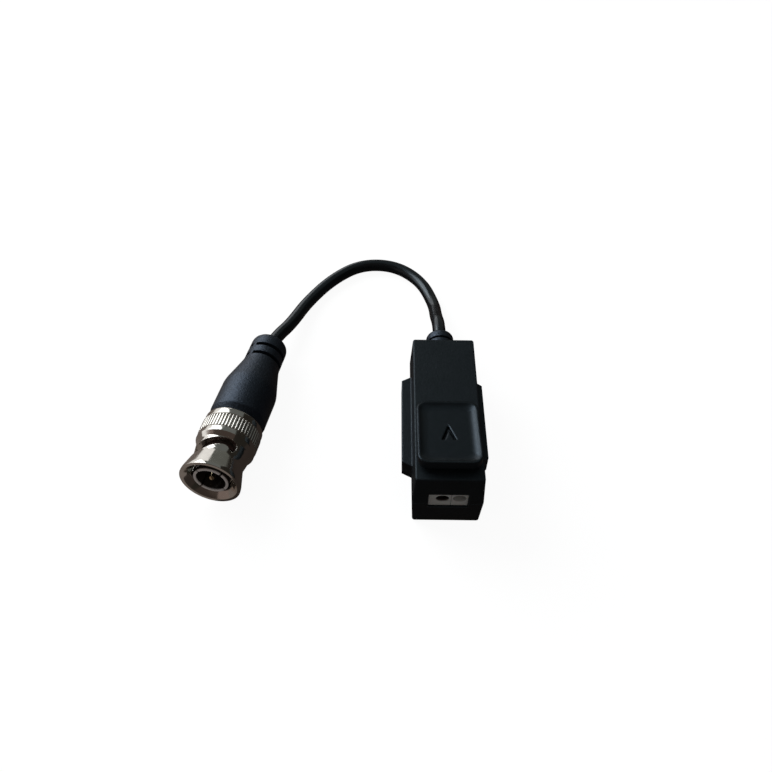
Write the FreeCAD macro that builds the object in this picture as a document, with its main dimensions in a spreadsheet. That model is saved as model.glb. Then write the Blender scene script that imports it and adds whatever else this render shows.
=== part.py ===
import FreeCAD, Part
import math
import os
import Sketcher
from types import SimpleNamespace

from FreeCAD import Placement, Rotation, Vector

os.makedirs("parts", exist_ok=True)
doc = FreeCAD.newDocument("VideoBalun")

# Driving dimensions, in millimetres and degrees.
# The frame stands under the middle of the housing: X across, +Y towards the cable exit, Z up.
DIMENSIONS = [
    # Housing shells
    ("housing_length", 40.8),
    ("housing_width", 15.0),
    ("housing_height", 17.2),
    ("seam_height", 8.2),
    ("seam_swell", 0.5),
    ("foot_swell", 0.15),
    ("wall", 1.2),
    ("roof", 1.2),
    ("base_floor", 1.2),
    ("upright_edge_radius", 0.6),
    ("foot_edge_radius", 0.55),
    ("roof_edge_radius", 0.3),
    ("seam_bevel", 0.12),
    ("tongue_thickness", 0.55),
    ("tongue_height", 0.6),
    ("tongue_clearance", 0.1),
    ("left_wing_reach", 2.65),
    ("right_wing_reach", 2.0),
    ("wing_bottom", 6.3),
    ("wing_top", 11.2),
    ("left_wing_length", 26.3),
    ("right_wing_length", 23.7),
    ("wing_end_run", 1.3),
    ("window_left", -4.4),
    ("window_right", 4.55),
    ("window_bottom", 6.65),
    ("window_top", 11.75),
    # Press key and its hinge
    ("hinge_y", -1.6),
    ("hinge_drop", 2.3),
    ("key_tilt", 8.2),
    ("key_width", 13.95),
    ("key_front", 17.13),
    ("key_rear", 1.7),
    ("key_rim_z", 3.18),
    ("key_corner_radius", 2.5),
    ("skirt_rear_z", 2.82),
    ("skirt_front_z", 1.07),
    ("rim_width", 0.5),
    ("dish_depth", 0.7),
    ("dish_run", 1.95),
    ("dish_bands", 5),
    ("dish_floor_corner", 1.5),
    ("belly_z", 1.3),
    ("belly_inset", 2.0),
    ("belly_start_inset", 0.35),
    ("chevron_depth", 0.35),
    ("chevron_width", 3.3),
    ("chevron_length", 4.5),
    ("chevron_stroke", 1.9),
    ("chevron_apex_y", -5.3),
    ("ear_thickness", 0.9),
    ("ear_radius", 1.3),
    ("ear_clearance", 0.2),
    ("trunnion_radius", 0.8),
    ("trunnion_clearance", 0.05),
    ("trunnion_length", 0.9),
    ("bearing_thickness", 0.9),
    ("bearing_radius", 1.6),
    ("opening_front", 16.0),
    ("opening_rear_gap", 1.75),
    ("prong_thickness", 0.5),
    ("prong_spacing", 2.0),
    ("prong_length_y", 1.2),
    ("prong_y", -11.37),
    ("prong_dip", 0.45),
    ("hook_x", 4.4),
    ("hook_width", 1.4),
    ("hook_thickness", 0.8),
    ("hook_y", -14.2),
    ("hook_barb", 0.7),
    ("hook_top_z", -1.4),
    ("hook_height", 0.8),
    # Wire terminals
    ("nose_setback", 0.15),
    ("nose_clearance", 0.1),
    ("block_gap", 0.2),
    ("block_split", 0.7),
    ("block_height", 8.4),
    ("block_depth", 10.8),
    ("block_floor", 1.2),
    ("pole_left_x", -1.25),
    ("pole_pitch", 3.81),
    ("wire_hole_width", 2.95),
    ("wire_hole_height", 2.4),
    ("wire_hole_z", 9.48),
    ("left_throat", 0.65),
    ("right_throat", 3.0),
    ("chamber_width", 3.0),
    ("chamber_setback", 3.25),
    ("chamber_length", 6.5),
    ("throat_drop", 0.9),
    ("bar_width", 1.1),
    ("bar_thickness", 0.4),
    ("bar_height", 11.0),
    ("bar_reach", 5.5),
    ("bar_bend", 0.5),
    ("bar_tail", 0.4),
    ("bar_slot_clearance", 0.1),
    ("spring_width", 2.3),
    ("spring_thickness", 0.35),
    ("spring_seat_gap", 0.05),
    ("spring_foot", 4.4),
    ("spring_bend", 0.8),
    ("spring_heel", 1.24),
    ("spring_rear_gap", 0.25),
    ("spring_tip_z", 10.4),
    # Circuit board and what it carries
    ("board_height", 4.0),
    ("board_thickness", 1.0),
    ("board_side_gap", 0.3),
    ("board_end_gap", 0.6),
    ("board_rear_y", 17.0),
    ("post_width", 1.3),
    ("post_length", 2.0),
    ("post_y", 15.0),
    ("rib_width", 0.7),
    ("rib_clearance", 0.05),
    ("core_outer", 9.0),
    ("core_inner", 4.5),
    ("core_height", 4.5),
    ("core_y", 4.0),
    ("core_edge_round", 0.375),
    ("turn_wire", 0.4),
    ("turn_clearance", 0.03),
    ("turns_each_side", 7),
    ("turn_step", 19.0),
    ("surge_diameter", 2.4),
    ("surge_length", 4.2),
    ("surge_y", -4.6),
    ("capacitor_length", 4.4),
    ("capacitor_width", 2.2),
    ("capacitor_height", 3.6),
    ("capacitor_edge_round", 0.275),
    ("resistor_diameter", 1.8),
    ("resistor_length", 3.6),
    ("rear_parts_y", 11.6),
    ("rear_parts_x", 3.2),
    ("lead_diameter", 0.7),
    ("lead_x", 1.0),
    ("lead_bend", 1.2),
    ("lead_drop_y", 14.6),
    # Strain relief bush
    ("gland_radius", 3.6),
    ("gland_neck_radius", 3.1),
    ("gland_flange_radius", 4.0),
    ("gland_flange", 1.2),
    ("gland_clearance", 0.05),
    ("gland_length", 9.3),
    ("gland_end_radius", 1.3),
    ("gland_groove_width", 0.7),
    ("gland_groove_depth", 0.7),
    ("gland_disc", 2.7),
    # Coaxial lead
    ("cable_radius", 1.75),
    ("cable_lift", 0.05),
    ("cable_straight", 5.0),
    # Plug: stations run from the mouth along the plug's own axis
    ("plug_x", -53.3),
    ("plug_y", -16.55),
    ("plug_yaw", 10.4),
    ("plug_tilt", 4.0),
    ("sleeve_length", 16.7),
    ("sleeve_rim_radius", 7.25),
    ("sleeve_rim_width", 1.4),
    ("sleeve_mouth_radius", 6.3),
    ("sleeve_mouth_depth", 1.6),
    ("sleeve_neck_radius", 6.0),
    ("sleeve_neck_start", 2.0),
    ("sleeve_shoulder", 9.2),
    ("sleeve_shoulder_radius", 7.15),
    ("sleeve_edge_round", 0.35),
    ("knurl_start", 12.0),
    ("knurl_end", 16.0),
    ("knurl_depth", 0.4),
    ("knurl_ribs", 48),
    ("knurl_groove_share", 0.5),
    ("sleeve_bore_radius", 4.9),
    ("sleeve_lip_start", 11.25),
    ("sleeve_lip_thickness", 1.15),
    ("sleeve_rear_bore_radius", 5.4),
    ("slot_start", 6.9),
    ("slot_width", 2.4),
    ("slot_sweep", 120.0),
    ("slot_middle_angle", 105.0),
    ("entry_groove_width", 2.2),
    ("entry_groove_depth", 0.8),
    ("entry_groove_angle", 30.0),
    ("hub_clearance", 0.07),
    ("hub_radius", 3.9),
    ("hub_end", 16.8),
    ("body_flange_radius", 4.8),
    ("body_flange_start", 8.8),
    ("body_flange_end", 10.0),
    ("barrel_radius", 2.9),
    ("barrel_end", 22.5),
    ("body_bore_radius", 2.65),
    ("body_bore_end", 15.0),
    ("cable_bore_radius", 1.5),
    ("washer_gap", 0.05),
    ("wave_washer_height", 0.7),
    ("wave_washer_thickness", 0.25),
    ("wave_washer_waves", 3),
    ("wave_washer_inner", 4.0),
    ("wave_washer_outer", 4.75),
    ("thrust_washer_thickness", 0.4),
    ("thrust_washer_outer", 4.8),
    ("ring_thickness", 0.5),
    ("ring_outer", 4.75),
    ("ring_groove_depth", 0.5),
    ("ring_gap", 80.0),
    ("ring_gap_turn", 200.0),
    ("contact_outer_radius", 4.1),
    ("contact_inner_radius", 3.5),
    ("contact_front", 0.6),
    ("contact_base", 8.0),
    ("contact_slit_width", 0.45),
    ("contact_slit_length", 6.0),
    ("contact_slit_turn", 45.0),
    ("contact_slits", 4),
    ("gasket_seat_depth", 0.2),
    ("gasket_radius", 4.8),
    ("gasket_thickness", 0.8),
    ("insulator_front", 5.5),
    ("insulator_gap", 0.05),
    ("pin_radius", 0.675),
    ("pin_front", 0.9),
    ("pin_shank_radius", 1.0),
    ("pin_shoulder_setback", 0.1),
    ("pin_end", 13.5),
    ("core_stub_radius", 0.45),
    ("tail_radius", 1.45),
    ("ferrule_radius", 3.5),
    ("ferrule_start", 17.2),
    ("ferrule_end", 23.5),
    ("boot_gap", 0.25),
    ("boot_end", 45.8),
    ("boot_radius", 6.9),
    ("boot_corner", 28.0),
    ("boot_corner_radius", 6.95),
    ("boot_corner_round", 0.9),
    ("boot_mid_station", 32.5),
    ("boot_mid_radius", 5.75),
    ("boot_collar_start", 37.0),
    ("boot_collar_radius", 4.8),
    ("boot_end_radius", 4.45),
    ("boot_end_round", 1.4),
    ("relief_width", 0.9),
    ("relief_depth", 1.5),
    ("relief_first", 38.25),
    ("relief_second", 41.55),
    ("relief_sweep", 150.0),
    ("relief_web_turn", 150.0),
]

sheet = doc.addObject("Spreadsheet::Sheet", "Sizes")
for row, (alias, value) in enumerate(DIMENSIONS, start=1):
    sheet.set("A%d" % row, alias.replace("_", " "))
    sheet.set("B%d" % row, str(value))
    sheet.setAlias("B%d" % row, alias)
doc.recompute()


class Size:
    """A dimension held both as its formula over the sheet and as its present number."""

    def __init__(self, text, number):
        self.text = text
        self.number = number

    def __add__(self, other):
        other = as_size(other)
        return Size("(%s + %s)" % (self.text, other.text), self.number + other.number)

    def __sub__(self, other):
        other = as_size(other)
        return Size("(%s - %s)" % (self.text, other.text), self.number - other.number)

    def __mul__(self, other):
        other = as_size(other)
        return Size("%s * %s" % (self.text, other.text), self.number * other.number)

    def __truediv__(self, other):
        other = as_size(other)
        return Size("%s / %s" % (self.text, other.text), self.number / other.number)

    def __neg__(self):
        return Size("(-1 * %s)" % self.text, -self.number)

    def __radd__(self, other):
        return as_size(other) + self

    def __rsub__(self, other):
        return as_size(other) - self

    def __rmul__(self, other):
        return as_size(other) * self


def as_size(value):
    return value if isinstance(value, Size) else Size(repr(float(value)), float(value))


def sine(angle):
    return Size("sin(%s)" % angle.text, math.sin(math.radians(angle.number)))


def cosine(angle):
    return Size("cos(%s)" % angle.text, math.cos(math.radians(angle.number)))


def slope(rise, run):
    return Size("atan(%s / %s)" % (rise.text, run.text), math.degrees(math.atan2(rise.number, run.number)))


def bind(target, prop, value):
    target.setExpression(prop, as_size(value).text)


s = SimpleNamespace(**{alias: Size("Sizes." + alias, float(sheet.get(alias))) for alias, _ in DIMENSIONS})
SUB_PARTS = []


# Shared modelling steps

def new_body(name):
    body = doc.addObject("PartDesign::Body", name)
    SUB_PARTS.append(body)
    return body


def keep_shape(name, shape):
    holder = doc.addObject("Part::Feature", name)
    holder.Shape = shape
    SUB_PARTS.append(holder)
    return holder


def put(body, base, axis=None, angle=None):
    """Binds a sub-part's place; the turn is about its own axis through its own origin."""
    for letter, value in zip("xyz", base):
        bind(body, "Placement.Base." + letter, value)
    if axis is not None:
        body.Placement = Placement(Vector(*[as_size(v).number for v in base]), Rotation(axis, angle.number))
        bind(body, "Placement.Rotation.Angle", angle)


def plane_of(body, role):
    return next(feature for feature in body.Origin.OriginFeatures if feature.Role == role)


def new_sketch(body, role, level=0, turn=None):
    """A sketch on an origin plane, shifted along the plane's normal and turned in or about it."""
    sketch = body.newObject("Sketcher::SketchObject", body.Name + "_sketch")
    sketch.AttachmentSupport = [(plane_of(body, role), "")]
    sketch.MapMode = "FlatFace"
    if turn is not None:
        axis, angle = turn
        sketch.AttachmentOffset = Placement(Vector(), Rotation(axis, as_size(angle).number))
        bind(sketch, "AttachmentOffset.Rotation.Angle", angle)
    bind(sketch, "AttachmentOffset.Base.z", level)
    return sketch


def bound_constraint(sketch, kind, geometry, position, value):
    if position is None:
        index = sketch.addConstraint(Sketcher.Constraint(kind, geometry, value.number))
    else:
        index = sketch.addConstraint(Sketcher.Constraint(kind, geometry, position, value.number))
    sketch.setExpression("Constraints[%d]" % index, value.text)


def arc_between(start, end, radius, left):
    """The shorter arc from start to end; its centre lies left or right of the chord."""
    chord = end - start
    half = chord.Length / 2
    depth = math.sqrt(max(radius * radius - half * half, 0.0))
    side = Vector(-chord.y, chord.x, 0).normalize()
    centre = start + chord * 0.5 + side * (depth if left else -depth)
    first, last = (start, end) if left else (end, start)
    angles = [math.atan2(p.y - centre.y, p.x - centre.x) for p in (first, last)]
    circle = Part.Circle(centre, Vector(0, 0, 1), radius)
    finish_angle = angles[1] if angles[1] > angles[0] else angles[1] + 2 * math.pi
    return Part.ArcOfCircle(circle, angles[0], finish_angle)


def closed_outline(sketch, corners):
    """Corners are (x, y), or (x, y, radius, side) where the edge that ends there is an arc."""
    corners = [tuple(as_size(v) if not isinstance(v, str) else v for v in corner) for corner in corners]
    spots = [Vector(corner[0].number, corner[1].number, 0) for corner in corners]
    ends = []
    for index, corner in enumerate(corners):
        start, end = spots[index - 1], spots[index]
        if len(corner) == 4:
            left = corner[3] == "left"
            geometry = sketch.addGeometry(arc_between(start, end, corner[2].number, left), False)
            bound_constraint(sketch, "Radius", geometry, None, corner[2])
            ends.append((geometry, 1, 2) if left else (geometry, 2, 1))
        else:
            ends.append((sketch.addGeometry(Part.LineSegment(start, end), False), 1, 2))
    for index, (geometry, _, finish) in enumerate(ends):
        following = ends[(index + 1) % len(ends)]
        sketch.addConstraint(Sketcher.Constraint("Coincident", geometry, finish, following[0], following[1]))
        bound_constraint(sketch, "DistanceX", geometry, finish, corners[index][0])
        bound_constraint(sketch, "DistanceY", geometry, finish, corners[index][1])
    return sketch


def rectangle(sketch, x_low, x_high, y_low, y_high):
    return closed_outline(sketch, [(x_low, y_low), (x_high, y_low), (x_high, y_high), (x_low, y_high)])


def rounded_rectangle(sketch, x_low, x_high, y_low, y_high, radius):
    return closed_outline(sketch, [
        (x_high - radius, y_low), (x_high, y_low + radius, radius, "left"),
        (x_high, y_high - radius), (x_high - radius, y_high, radius, "left"),
        (x_low + radius, y_high), (x_low, y_high - radius, radius, "left"),
        (x_low, y_low + radius), (x_low + radius, y_low, radius, "left")])


def circle(sketch, x, y, radius):
    centre = Vector(as_size(x).number, as_size(y).number, 0)
    geometry = sketch.addGeometry(Part.Circle(centre, Vector(0, 0, 1), as_size(radius).number), False)
    bound_constraint(sketch, "Radius", geometry, None, as_size(radius))
    bound_constraint(sketch, "DistanceX", geometry, 3, as_size(x))
    bound_constraint(sketch, "DistanceY", geometry, 3, as_size(y))
    return sketch


def pad(body, sketch, length, reverse=False, both_sides=False, taper=None):
    feature = body.newObject("PartDesign::Pad", body.Name + "_pad")
    feature.Profile = sketch
    feature.Reversed = reverse
    feature.SideType = "Symmetric" if both_sides else "One side"
    bind(feature, "Length", length)
    if taper is not None:
        bind(feature, "TaperAngle", taper)
    return feature


def pocket(body, sketch, length, reverse=False, both_sides=False):
    feature = body.newObject("PartDesign::Pocket", body.Name + "_pocket")
    feature.Profile = sketch
    feature.Reversed = reverse
    feature.SideType = "Symmetric" if both_sides else "One side"
    bind(feature, "Length", length)
    return feature


def turned(body, sketch, sweep=None, cut=False):
    """Revolves a half profile (radius across, station along) about the sketch's upright axis."""
    feature = body.newObject("PartDesign::Groove" if cut else "PartDesign::Revolution", body.Name + "_turn")
    feature.Profile = sketch
    feature.ReferenceAxis = (sketch, ["V_Axis"])
    if sweep is None:
        feature.Angle = 360
    else:
        bind(feature, "Angle", sweep)
    return feature


def around(body, features, count, axis="Y_Axis"):
    pattern = body.newObject("PartDesign::PolarPattern", body.Name + "_pattern")
    pattern.Originals = features
    pattern.Axis = (plane_of(body, axis), [""])
    pattern.Angle = 360
    if isinstance(count, Size):
        bind(pattern, "Occurrences", count)
    else:
        pattern.Occurrences = count
    body.Tip = pattern
    return pattern


def loft(body, sketches, cut=False):
    feature = body.newObject("PartDesign::SubtractiveLoft" if cut else "PartDesign::AdditiveLoft",
                             body.Name + "_loft")
    feature.Profile = sketches[0]
    feature.Sections = sketches[1:]
    feature.Ruled = True
    return feature


def edge_names(feature, wanted):
    doc.recompute()
    return ["Edge%d" % n for n, edge in enumerate(feature.Shape.Edges, start=1) if wanted(edge)]


def round_edges(body, feature, wanted, radius):
    names = edge_names(feature, wanted)
    fillet = body.newObject("PartDesign::Fillet", body.Name + "_fillet")
    fillet.Base = (feature, names)
    bind(fillet, "Radius", radius)
    return fillet


def bevel_edges(body, feature, wanted, size):
    names = edge_names(feature, wanted)
    chamfer = body.newObject("PartDesign::Chamfer", body.Name + "_bevel")
    chamfer.Base = (feature, names)
    bind(chamfer, "Size", size)
    return chamfer


def on_level(edge, axis, value, tolerance=0.01):
    return all(abs(getattr(vertex.Point, axis) - value.number) < tolerance for vertex in edge.Vertexes)


def tangent_path(points, share=0.45, bends=None):
    """Straight runs joined by arcs; returns the path and the radius at each inner point."""
    edges, radii = [], []
    cursor = points[0]
    for before, corner, after in zip(points, points[1:], points[2:]):
        incoming = (corner - before).normalize()
        outgoing = (after - corner).normalize()
        half_turn = incoming.getAngle(outgoing) / 2
        if bends is None:
            radius = share * min((corner - before).Length, (after - corner).Length) / math.tan(half_turn)
        else:
            radius = bends
        reach = radius * math.tan(half_turn)
        arc_start = corner - incoming * reach
        arc_end = corner + outgoing * reach
        inward = (outgoing - incoming).normalize()
        middle = corner + inward * (radius / math.cos(half_turn) - radius)
        edges.append(Part.LineSegment(cursor, arc_start).toShape())
        edges.append(Part.Arc(arc_start, middle, arc_end).toShape())
        radii.append(radius)
        cursor = arc_end
    edges.append(Part.LineSegment(cursor, points[-1]).toShape())
    return Part.Wire(edges), radii


def round_bar(path, start, direction, radius):
    section = Part.Wire([Part.makeCircle(radius, start, direction)])
    return path.makePipeShell([section], True, True)


def flat_strip(points, bend, width, thickness):
    """A strip bent in the YZ plane, its width across X, its points on its mid line."""
    path, _ = tangent_path(points, bends=bend)
    ahead = (points[1] - points[0]).normalize()
    across = Vector(1, 0, 0) * (width / 2)
    upward = ahead.cross(Vector(1, 0, 0)).normalize() * (thickness / 2)
    start = points[0]
    corners = [start - across - upward, start + across - upward, start + across + upward,
               start - across + upward, start - across - upward]
    return path.makePipeShell([Part.makePolygon(corners)], True, True)


# Places that several pieces share

half_width = s.housing_width / 2
half_length = s.housing_length / 2
inside_x = half_width - s.wall
inside_y = half_length - s.wall
ceiling = s.housing_height - s.roof
hinge_z = s.housing_height - s.hinge_drop
board_top = s.board_height + s.board_thickness
block_front = -(inside_y - s.block_gap)
nose_front = -(half_length - s.nose_setback)
block_rear = block_front + s.block_depth
chamber_front = nose_front + s.chamber_setback
chamber_rear = chamber_front + s.chamber_length
chamber_floor = board_top + s.block_floor
bar_leg_y = chamber_rear - s.bar_thickness / 2
pole_right_x = s.pole_left_x + s.pole_pitch
opening_rear = s.hinge_y + s.opening_rear_gap
gland_end = half_length + s.gland_length
bearing_face = inside_x - s.bearing_thickness
# The plug lies on the thickest part of its boot, with its mouth a little off the table.
plug_height = s.boot_corner_radius * cosine(s.plug_tilt) + (s.boot_corner - s.boot_corner_round) * sine(s.plug_tilt)
pin_shoulder = s.insulator_front + s.pin_shoulder_setback
through_wall = s.wall * 2.5
plug_place = Placement(Vector(s.plug_x.number, s.plug_y.number, plug_height.number),
                       Rotation(-s.plug_yaw.number, 0, -s.plug_tilt.number))
UP = Vector(0, 0, 1)
RIGHT_ANGLE = Size("90", 90.0)
HALF_TURN = Size("180", 180.0)
NEAR_EDGE = 0.5
WAVE_STEPS = 8


def outer_plan(sketch, inset):
    """The housing's plan: sharp corners, rounded later, drawn in from the top outline by inset."""
    return rectangle(sketch, -(half_width - inset), half_width - inset,
                     -(half_length - inset), half_length - inset)


def upright_corner(edge):
    direction = edge.tangentAt(edge.FirstParameter)
    middle = edge.CenterOfMass
    at_side = abs(middle.x) > half_width.number - NEAR_EDGE
    at_end = abs(middle.y) > half_length.number - NEAR_EDGE
    return abs(direction.z) > abs(direction.x) + abs(direction.y) and at_side and at_end


def wing(body, side, level, height, length, reach):
    """A fin along a side wall, its ends cut back at a slant."""
    sketch = new_sketch(body, "XY_Plane", level)
    root = (half_width - s.wall / 2) * side
    face = (half_width + s.seam_swell / 2) * side
    tip = (half_width + reach) * side
    run = s.wing_end_run
    closed_outline(sketch, [(root, -1 * length / 2), (face, -1 * length / 2), (tip, run - length / 2),
                            (tip, length / 2 - run), (face, length / 2), (root, length / 2)])
    return pad(body, sketch, height)


def seam_window(body):
    """The terminal window through the front wall, which both shells share."""
    sketch = new_sketch(body, "XZ_Plane", half_length + s.wall)
    rectangle(sketch, s.window_left, s.window_right, s.window_bottom, s.window_top)
    return pocket(body, sketch, through_wall)


def gland_seat(body):
    """The round seat of the strain relief bush, half in each shell."""
    sketch = new_sketch(body, "XZ_Plane", -(half_length + s.wall))
    circle(sketch, 0, s.seam_height, s.gland_neck_radius + s.gland_clearance)
    return pocket(body, sketch, through_wall, reverse=True)


def seam_edge(edge):
    on_seam = on_level(edge, "z", s.seam_height)
    middle = edge.valueAt((edge.FirstParameter + edge.LastParameter) / 2)
    outside = abs(middle.x) > half_width.number - NEAR_EDGE or abs(middle.y) > half_length.number - NEAR_EDGE
    return on_seam and outside


# Upper shell: walls, roof with the key's opening, bearings, hold-down ribs

def upper_shell():
    body = new_body("upper_shell")
    rise = s.housing_height - s.seam_height
    block = pad(body, outer_plan(new_sketch(body, "XY_Plane", s.seam_height), -s.seam_swell), rise,
                taper=-slope(s.seam_swell, rise))
    corners = round_edges(body, block, upright_corner, s.upright_edge_radius)
    round_edges(body, corners, lambda e: on_level(e, "z", s.housing_height), s.roof_edge_radius)
    wing_rise = s.wing_top - s.seam_height
    wing(body, -1, s.seam_height, wing_rise, s.left_wing_length, s.left_wing_reach)
    last = wing(body, 1, s.seam_height, wing_rise, s.right_wing_length, s.right_wing_reach)
    bevel_edges(body, last, seam_edge, s.seam_bevel)
    hollow = rectangle(new_sketch(body, "XY_Plane", s.seam_height), -inside_x, inside_x, -inside_y, inside_y)
    pocket(body, hollow, ceiling - s.seam_height, reverse=True)
    recess = s.tongue_thickness + s.tongue_clearance
    recess_plan = rectangle(new_sketch(body, "XY_Plane", s.seam_height), -(inside_x + recess),
                            inside_x + recess, -(inside_y + recess), inside_y + recess)
    pocket(body, recess_plan, s.tongue_height + s.tongue_clearance, reverse=True)
    opening = rectangle(new_sketch(body, "XY_Plane", s.housing_height), -inside_x, inside_x,
                        -s.opening_front, opening_rear)
    pocket(body, opening, s.roof)
    seam_window(body)
    gland_seat(body)
    for side in (-1, 1):
        boss = new_sketch(body, "YZ_Plane", inside_x * side)
        radius = s.bearing_radius
        closed_outline(boss, [(s.hinge_y - radius, ceiling), (s.hinge_y - radius, hinge_z),
                              (s.hinge_y, hinge_z - radius, radius, "left"),
                              (s.hinge_y + radius, hinge_z, radius, "left"),
                              (s.hinge_y + radius, ceiling)])
        pad(body, boss, s.bearing_thickness, reverse=side > 0)
        bore = new_sketch(body, "YZ_Plane", inside_x * side)
        circle(bore, s.hinge_y, hinge_z, s.trunnion_radius + s.trunnion_clearance)
        pocket(body, bore, s.bearing_thickness, reverse=side < 0)
    for side in (-1, 1):
        rib = new_sketch(body, "XY_Plane", board_top + s.rib_clearance)
        x_wall, x_rib = inside_x * side, (inside_x - s.rib_width) * side
        rectangle(rib, x_wall, x_rib, s.post_y - s.post_length / 2, s.post_y + s.post_length / 2)
        pad(body, rib, ceiling - board_top - s.rib_clearance)


# Lower shell: floor, walls, the tongue that enters the upper shell, board posts

def lower_shell():
    body = new_body("lower_shell")
    lean = slope(s.seam_swell - s.foot_swell, s.seam_height)
    block = pad(body, outer_plan(new_sketch(body, "XY_Plane", 0), -s.foot_swell), s.seam_height, taper=lean)
    corners = round_edges(body, block, upright_corner, s.upright_edge_radius)
    round_edges(body, corners, lambda e: on_level(e, "z", as_size(0)), s.foot_edge_radius)
    wing_rise = s.seam_height - s.wing_bottom
    wing(body, -1, s.wing_bottom, wing_rise, s.left_wing_length, s.left_wing_reach)
    last = wing(body, 1, s.wing_bottom, wing_rise, s.right_wing_length, s.right_wing_reach)
    bevel_edges(body, last, seam_edge, s.seam_bevel)
    hollow = rectangle(new_sketch(body, "XY_Plane", s.seam_height), -inside_x, inside_x, -inside_y, inside_y)
    pocket(body, hollow, s.seam_height - s.base_floor)
    tongue = new_sketch(body, "XY_Plane", s.seam_height)
    outer_x, outer_y = inside_x + s.tongue_thickness, inside_y + s.tongue_thickness
    rectangle(tongue, -outer_x, outer_x, -outer_y, outer_y)
    rectangle(tongue, -inside_x, inside_x, -inside_y, inside_y)
    pad(body, tongue, s.tongue_height)
    seam_window(body)
    gland_seat(body)
    for side in (-1, 1):
        for end in (-1, 1):
            post = new_sketch(body, "XY_Plane", s.base_floor)
            x_wall, x_post = inside_x * side, (inside_x - s.post_width) * side
            y_middle = s.post_y * end
            rectangle(post, x_wall, x_post, y_middle - s.post_length / 2, y_middle + s.post_length / 2)
            pad(body, post, s.board_height - s.base_floor)


# Press key: a dished rocker on two trunnions; its prongs push the clamp springs open

def key_plan(sketch, inset, radius):
    return rounded_rectangle(sketch, -(s.key_width / 2 - inset), s.key_width / 2 - inset,
                             -(s.key_front - inset), s.key_rear - inset, radius)


def press_key():
    body = new_body("press_key")
    slab_sketch = key_plan(new_sketch(body, "XY_Plane", s.skirt_front_z), 0, s.key_corner_radius)
    pad(body, slab_sketch, s.key_rim_z - s.skirt_front_z)
    wedge = new_sketch(body, "YZ_Plane")
    beyond = s.key_corner_radius
    lean = (s.skirt_rear_z - s.skirt_front_z) / (s.key_rear + s.key_front)
    closed_outline(wedge, [(-s.key_front, s.skirt_front_z), (-s.key_front, s.skirt_front_z - beyond),
                           (s.key_rear + beyond, s.skirt_front_z - beyond),
                           (s.key_rear + beyond, s.skirt_rear_z + lean * beyond)])
    pocket(body, wedge, s.key_width * 2, both_sides=True)
    belly_top = key_plan(new_sketch(body, "XY_Plane", s.skirt_rear_z), s.belly_start_inset,
                         s.key_corner_radius - s.belly_start_inset)
    belly_bottom = key_plan(new_sketch(body, "XY_Plane", s.belly_z), s.belly_inset, s.rim_width)
    loft(body, [belly_top, belly_bottom])
    arc_angle = 2 * math.degrees(math.atan2(s.dish_depth.number, s.dish_run.number))
    full_turn = Size("2 * atan(%s / %s)" % (s.dish_depth.text, s.dish_run.text), arc_angle)
    arc_radius = s.dish_run / sine(full_turn)
    bands = int(s.dish_bands.number)
    rim_corner = s.key_corner_radius - s.rim_width
    sections = []
    for step in range(bands + 1):
        part_turn = Size("%s * %d / %d" % (full_turn.text, step, bands), arc_angle * step / bands)
        depth = s.dish_depth - arc_radius * (1 - cosine(part_turn))
        inset = s.rim_width + s.dish_run - arc_radius * sine(part_turn)
        corner = s.dish_floor_corner + (rim_corner - s.dish_floor_corner) * step / bands
        sections.append(key_plan(new_sketch(body, "XY_Plane", s.key_rim_z - depth), inset, corner))
    loft(body, sections, cut=True)
    chevron = new_sketch(body, "XY_Plane", s.key_rim_z - s.dish_depth)
    half, foot = s.chevron_width / 2, s.chevron_apex_y - s.chevron_length
    stroke = s.chevron_stroke
    leg = half * stroke / s.chevron_length
    closed_outline(chevron, [(-half, foot), (leg - half, foot), (0, s.chevron_apex_y - stroke),
                             (half - leg, foot), (half, foot), (0, s.chevron_apex_y)])
    pocket(body, chevron, s.chevron_depth)
    root_z = s.belly_z + s.dish_depth / 2
    for side in (-1, 1):
        outer = (bearing_face - s.ear_clearance) * side
        ear = new_sketch(body, "YZ_Plane", outer)
        radius = s.ear_radius
        closed_outline(ear, [(-radius, root_z), (-radius, 0), (0, -radius, radius, "left"),
                             (radius, 0, radius, "left"), (radius, root_z)])
        pad(body, ear, s.ear_thickness, reverse=side > 0)
        pin = circle(new_sketch(body, "YZ_Plane", outer), 0, 0, s.trunnion_radius)
        pad(body, pin, s.trunnion_length, reverse=side < 0)
        hook = new_sketch(body, "YZ_Plane", s.hook_x * side)
        heel, toe = s.hook_y + s.hook_thickness, s.hook_y
        closed_outline(hook, [(heel, root_z), (toe, root_z), (toe, s.hook_top_z),
                              (toe - s.hook_barb, s.hook_top_z),
                              (toe, s.hook_top_z - s.hook_height), (heel, s.hook_top_z - s.hook_height)])
        pad(body, hook, s.hook_width, both_sides=True)
    prong_drop = s.spring_tip_z - s.prong_dip - hinge_z
    prong_bottom = (prong_drop + s.prong_y * sine(s.key_tilt)) / cosine(s.key_tilt)
    for centre in (s.pole_left_x, pole_right_x):
        for side in (-1, 1):
            prong = new_sketch(body, "XY_Plane", prong_bottom)
            x_middle = centre + s.prong_spacing / 2 * side
            rectangle(prong, x_middle - s.prong_thickness / 2, x_middle + s.prong_thickness / 2,
                      s.prong_y - s.prong_length_y / 2, s.prong_y + s.prong_length_y / 2)
            pad(body, prong, root_z - prong_bottom)
    put(body, (0, s.hinge_y, hinge_z), Vector(-1, 0, 0), s.key_tilt)


# Terminal blocks: one moulded module for each pole, with a wire hole and a spring chamber

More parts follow.
